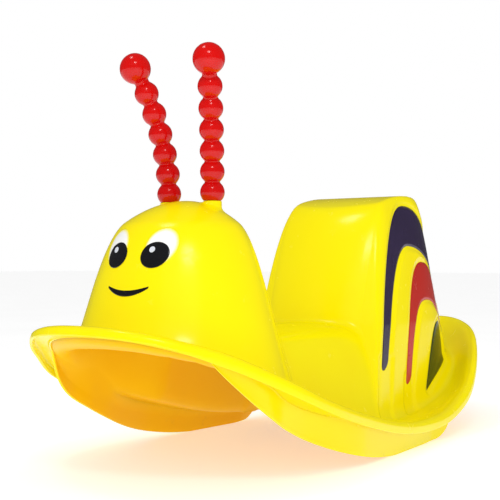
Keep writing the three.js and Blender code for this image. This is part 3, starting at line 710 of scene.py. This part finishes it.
def lathe(rings, around, axis):
    """Rings (position, radius) round an axis given by a function; welding closes the ends."""
    angle = np.linspace(0, 2 * np.pi, around, endpoint=False)
    points = []
    for position, radius in rings:
        centre = axis(position)
        along = axis(position + 0.5) - axis(position - 0.5)
        along /= np.linalg.norm(along)
        outward = np.array([1.0, 0, 0]) - along * along[0]
        outward /= np.linalg.norm(outward)
        sideways = np.cross(along, outward)
        circle = outward * np.cos(angle)[:, None] + sideways * np.sin(angle)[:, None]
        points.append(centre + circle * np.reshape(radius, (-1, 1)))
    return np.stack(points, 1).reshape(-1, 3), grid_faces(around, len(rings), True)


AXIS_HEIGHTS = np.linspace(-10, GRIP_TOP + 40, 900)
BOW = (np.maximum(AXIS_HEIGHTS, 0) / GRIP_TOP) ** 2
AXIS = np.stack([GRIP_X + GRIP_OUT * BOW, GRIP_Y - GRIP_FORWARD * BOW,
                 GRIP_ROOT + AXIS_HEIGHTS], -1)
AXIS_RUN = np.concatenate([[0], np.cumsum(np.linalg.norm(np.diff(AXIS, axis=0), axis=1))])
AXIS_RUN -= np.interp(0, AXIS_HEIGHTS, AXIS_RUN)      # length along the axis from the crown


def grip_axis(run):
    return np.array([np.interp(run, AXIS_RUN, AXIS[:, k]) for k in range(3)])


def run_at(height):
    return np.interp(height, AXIS_HEIGHTS, AXIS_RUN)


def grip_radius(run):
    """A string of beads with a larger ball on top, softened where they meet."""
    radius = np.float64(NECK_RADIUS if run > run_at(FIRST_BEAD) else 0)
    spheres = [(run_at(FIRST_BEAD + i * BEAD_PITCH), BEAD_RADIUS) for i in range(BEADS)]
    for centre, size in spheres + [(run_at(GRIP_TOP), BALL_RADIUS)]:
        radius = smooth_max(radius, math.sqrt(max(size ** 2 - (run - centre) ** 2, 0)), 2.4)
    return radius


def handle(side):
    top = run_at(GRIP_TOP)
    below = 6                            # from here up the ball is drawn by angle, to close evenly
    rings = [(0.0, 0.0), (0.0, grip_radius(0.6) - 1.6), (0.15, grip_radius(0.6) - 0.6)]
    runs = np.linspace(0.6, top - below, 330)
    rings += [(run, grip_radius(run)) for run in runs]
    angles = np.linspace(math.asin(-below / BALL_RADIUS), np.pi / 2, 34)[1:]
    rings += [(top + BALL_RADIUS * math.sin(t), BALL_RADIUS * math.cos(t)) for t in angles]
    around = 48
    past_seam = np.arange(around) % (around // 2)
    from_seam = np.minimum(past_seam, around // 2 - past_seam)
    seam = 0.2 * np.exp(-(from_seam / 0.45) ** 2)
    rings = [(run, radius + seam * min(radius / 8, 1)) for run, radius in rings]
    points, faces = lathe(rings, around, grip_axis)
    points = points if side == "left" else mirrored(points)
    piece = make_mesh(f"handle_{side}", points, faces, [RED])
    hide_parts(f"antenna_{side}")


def boss(side):
    """The collar moulded on the head below a handle, with the pad under the skin."""
    top = GRIP_ROOT - GAP
    angle = np.linspace(0, 2 * np.pi, 56, endpoint=False)
    fillet = np.linspace(0, np.pi / 2, 9)
    rings = [(4.5, 0, 362), (14.4, 0, 362), (15, 0, 362.8), (15, -2.0, None), (21, -1.0, None)]
    rings += [(20.0 - 6.5 * math.sin(t), 5.0 * (1 - math.cos(t)), None) for t in fillet]
    rings += [(13.4, 0, top - 1.4), (13.1, 0, top - 0.5), (12.4, 0, top - 0.1), (11.6, 0, top),
              (4.5, 0, top), (4.5, 0, 362)]
    points = []
    for radius, above, height in rings:
        x, y = GRIP_X + radius * np.cos(angle), GRIP_Y + radius * np.sin(angle)
        z = top_height(x, y) + above if height is None else np.full(x.shape, float(height))
        points.append(np.stack([x, y, np.minimum(z, top - 1.8) if height is None else z], -1))
    points = np.stack(points, 1).reshape(-1, 3)
    faces = grid_faces(len(angle), len(rings), True)
    points = points if side == "left" else mirrored(points)
    piece = make_mesh(f"boss_{side}", points, faces, [YELLOW])


for side in ("left", "right"):
    handle(side)
    boss(side)


# ------------------------------------------------------------------ painted films

def film(name, node, plan, point_at, material):
    """A thin closed film over a grid of outline coordinates (columns, rows, 2)."""
    columns, rows = plan.shape[:2]
    u, v = plan[..., 0].ravel(), plan[..., 1].ravel()
    edge = np.zeros((columns, rows), bool)
    edge[[0, -1]] = True
    edge[:, [0, -1]] = True
    top = point_at(u, v, np.where(edge.ravel(), FILM_EDGE, FILM_TOP))
    bottom = point_at(u, v, np.full(u.shape, FILM_BOTTOM))
    faces = grid_faces(columns, rows, False)
    loop = np.concatenate([np.arange(columns) * rows, (columns - 1) * rows + np.arange(1, rows),
                           (np.arange(columns - 1) * rows + rows - 1)[::-1],
                           np.arange(1, rows - 1)[::-1]])
    after = np.roll(loop, -1)
    walls = np.stack([loop, after, after + len(u), loop + len(u)], -1)
    faces = np.concatenate([faces, faces[:, ::-1] + len(u), walls])
    points = np.concatenate([top, bottom])
    piece = make_mesh(name, points, faces, [material])
    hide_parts(node)


def stripe_plan(stripe):
    """The stripe as a grid between its two edges, with rounded feet."""
    left, right = stripe_edges(stripe, 220)
    if stripe["opening"]:
        middle, half = (left + right) / 2, (right - left) / 2
        run = np.concatenate([[0], np.cumsum(np.linalg.norm(np.diff(middle, axis=0), axis=1))])
        reach = np.minimum(run, run[-1] - run)
        radius = np.maximum(np.linalg.norm(half, axis=1), 3.0)
        rounded = np.sqrt(np.clip(1 - (1 - np.minimum(reach / radius, 1)) ** 2, 0.004, 1))
        left, right = middle - half * rounded[:, None], middle + half * rounded[:, None]
    t = np.linspace(0, 1, 15)[None, :, None]
    return left[:, None] * (1 - t) + right[:, None] * t


def flank(sign):
    return lambda y, z, lift: flank_point(y, z, lift) * [sign, 1, 1]


for side, sign in (("left", 1), ("right", -1)):
    for colour, material in (("purple", PURPLE), ("red", STRIPE_RED), ("green", GREEN)):
        plan = stripe_plan(STRIPES[colour])
        name = f"stripe_{colour}_{side}"
        film(f"band_{colour}_{side}", name, plan, flank(sign), material)


def disc_plan(x, z, half_width, half_height):
    """An ellipse as a square grid bent round, so that its film has four soft corners."""
    s = np.linspace(-1, 1, 33)
    a, b = np.meshgrid(s, s, indexing="ij")
    u = a * np.sqrt(1 - b * b / 2)
    v = b * np.sqrt(1 - a * a / 2)
    return np.stack([x + half_width * u, z + half_height * v], -1)


EYE_X, EYE_Z, EYE_HALF_WIDTH, EYE_HALF_HEIGHT = 38.0, 315.5, 22.5, 25.5
PUPIL_X, PUPIL_Z, PUPIL_HALF_WIDTH, PUPIL_HALF_HEIGHT = 32.5, 304.0, 20.0, 17.6
GLINT_X, GLINT_Z, GLINT_RADIUS = 28.0, 311.0, 4.0
SMILE_HALF_WIDTH, SMILE_CORNER_Z, SMILE_LOW_Z, SMILE_THICK = 35.0, 261.0, 252.5, 8.0


def raised(layer):
    return lambda x, z, lift: face_point(x, z, lift + layer)


def smile_plan():
    """A stroke along a sagging curve, thickest in the middle."""
    t = np.linspace(0, 1, 90)[:, None]
    sag = 2 * SMILE_LOW_Z - SMILE_CORNER_Z
    middle = ((1 - t) ** 2 * [-SMILE_HALF_WIDTH, SMILE_CORNER_Z] + 2 * (1 - t) * t * [0, sag]
              + t ** 2 * [SMILE_HALF_WIDTH, SMILE_CORNER_Z])
    half = SMILE_THICK / 2 * (0.2 + 0.8 * np.sin(np.pi * np.clip(t, 0.02, 0.98)) ** 0.6) * [0, 1]
    s = np.linspace(-1, 1, 9)[None, :, None]
    return middle[:, None] + half[:, None] * s


for side, sign in (("left", 1), ("right", -1)):
    white = airbrushed_white(f"film_white_{side}", (sign * EYE_X / 1000, EYE_Z / 1000),
                             (EYE_HALF_WIDTH / 1000, EYE_HALF_HEIGHT / 1000),
                             (0.93, 0.93, 0.90), YELLOW_LINEAR)
    film(f"eye_spray_{side}", f"eye_white_{side}",
         disc_plan(sign * EYE_X, EYE_Z, EYE_HALF_WIDTH, EYE_HALF_HEIGHT), raised(0), white)
    film(f"eye_dark_{side}", f"eye_pupil_{side}",
         disc_plan(sign * PUPIL_X, PUPIL_Z, PUPIL_HALF_WIDTH, PUPIL_HALF_HEIGHT), raised(0.5),
         BLACK)
    glint_x = sign * PUPIL_X + (GLINT_X - PUPIL_X)
    film(f"eye_spark_{side}", f"eye_glint_{side}",
         disc_plan(glint_x, GLINT_Z, GLINT_RADIUS, GLINT_RADIUS), raised(1.0), GLINT)

film("smile", "mouth", smile_plan(), raised(0.2), BLACK)

for side in ("left", "right"):
    for piece, metal in (("insert", BRASS), ("washer", STEEL), ("screw", STEEL)):
        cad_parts[f"antenna_{piece}_{side}"].material_slots[0].material = metal


# ------------------------------------------------------------------ floor, light and camera

YAW, PITCH = 34.7, 0.75              # the camera's, in degrees to the left of +Y and upward
CAMERA_PLACE = (0.9337, -1.4801, 0.2923)
LIGHT_AIM = np.array([0, -0.1, 0.25])
FLOOR_HALF = 30                      # metres


def stage_floor():
    material, tree, shader, place = node_material("studio_floor")
    tone = span(tree, noise(tree, place, 3, 3), 0.3, 0.7, 0.0, 1.0)
    tree.links.new(mix(tree, tone, (0.86, 0.86, 0.86), (0.89, 0.89, 0.89)),
                   shader.inputs["Base Color"])
    shader.inputs["Roughness"].default_value = 0.7
    shader.inputs["Emission Color"].default_value = (1, 1, 1, 1)
    shader.inputs["Emission Strength"].default_value = 0.4
    mesh = bpy.data.meshes.new("floor")
    corners = [(-FLOOR_HALF, -FLOOR_HALF, 0), (FLOOR_HALF, -FLOOR_HALF, 0),
               (FLOOR_HALF, FLOOR_HALF, 0), (-FLOOR_HALF, FLOOR_HALF, 0)]
    mesh.from_pydata(corners, [], [(0, 1, 2, 3)])
    mesh.materials.append(material)
    floor = bpy.data.objects.new("floor", mesh)
    bpy.context.collection.objects.link(floor)


def softbox(name, azimuth, elevation, distance, width, height, radiance, mirrored=True):
    """A soft light aimed at the object; azimuth is measured from the camera, to its right."""
    turn = math.radians(azimuth + YAW)
    rise = math.radians(elevation)
    way = distance * np.array([math.sin(turn) * math.cos(rise),
                               -math.cos(turn) * math.cos(rise), math.sin(rise)])
    light = bpy.data.lights.new(name, "AREA")
    light.shape = "RECTANGLE"
    light.size, light.size_y = width, height
    light.energy = radiance * math.pi * width * height
    lamp = bpy.data.objects.new(name, light)
    lamp.location = LIGHT_AIM + way
    pitch = math.atan2(math.hypot(way[0], way[1]), way[2])
    lamp.rotation_euler = (pitch, 0, math.atan2(way[1], way[0]) + math.pi / 2)
    lamp.visible_glossy = mirrored
    bpy.context.collection.objects.link(lamp)


stage_floor()
softbox("over_camera", 0, 42, 2.6, 0.55, 0.3, 16)
softbox("front", -8, 35, 2.8, 2.0, 1.2, 1.2, mirrored=False)
softbox("overhead", -70, 68, 2.4, 0.4, 0.4, 10)
softbox("low_fill", 20, 6, 2.4, 1.4, 0.5, 3, mirrored=False)


def studio_world():
    """A white room that is dim in reflections, so that highlights come from the softboxes."""
    world = bpy.data.worlds.new("studio")
    world.use_nodes = True
    tree = world.node_tree
    background = tree.nodes["Background"]
    rays = tree.nodes.new("ShaderNodeLightPath")
    lit = mix(tree, rays.outputs["Is Camera Ray"], (0.72, 0.72, 0.72), (1.0, 1.0, 1.0))
    tree.links.new(mix(tree, rays.outputs["Is Glossy Ray"], lit, (0.1, 0.1, 0.1)),
                   background.inputs["Color"])
    bpy.context.scene.world = world


studio_world()
bpy.context.scene.view_settings.view_transform = "Standard"

camera_data = bpy.data.cameras.new("camera")
camera_data.sensor_width = 36
camera_data.lens = 75.6
camera = bpy.data.objects.new("camera", camera_data)
camera.location = CAMERA_PLACE
camera.rotation_euler = (math.radians(90 + PITCH), 0, math.radians(YAW))
bpy.context.collection.objects.link(camera)
bpy.context.scene.camera = camera
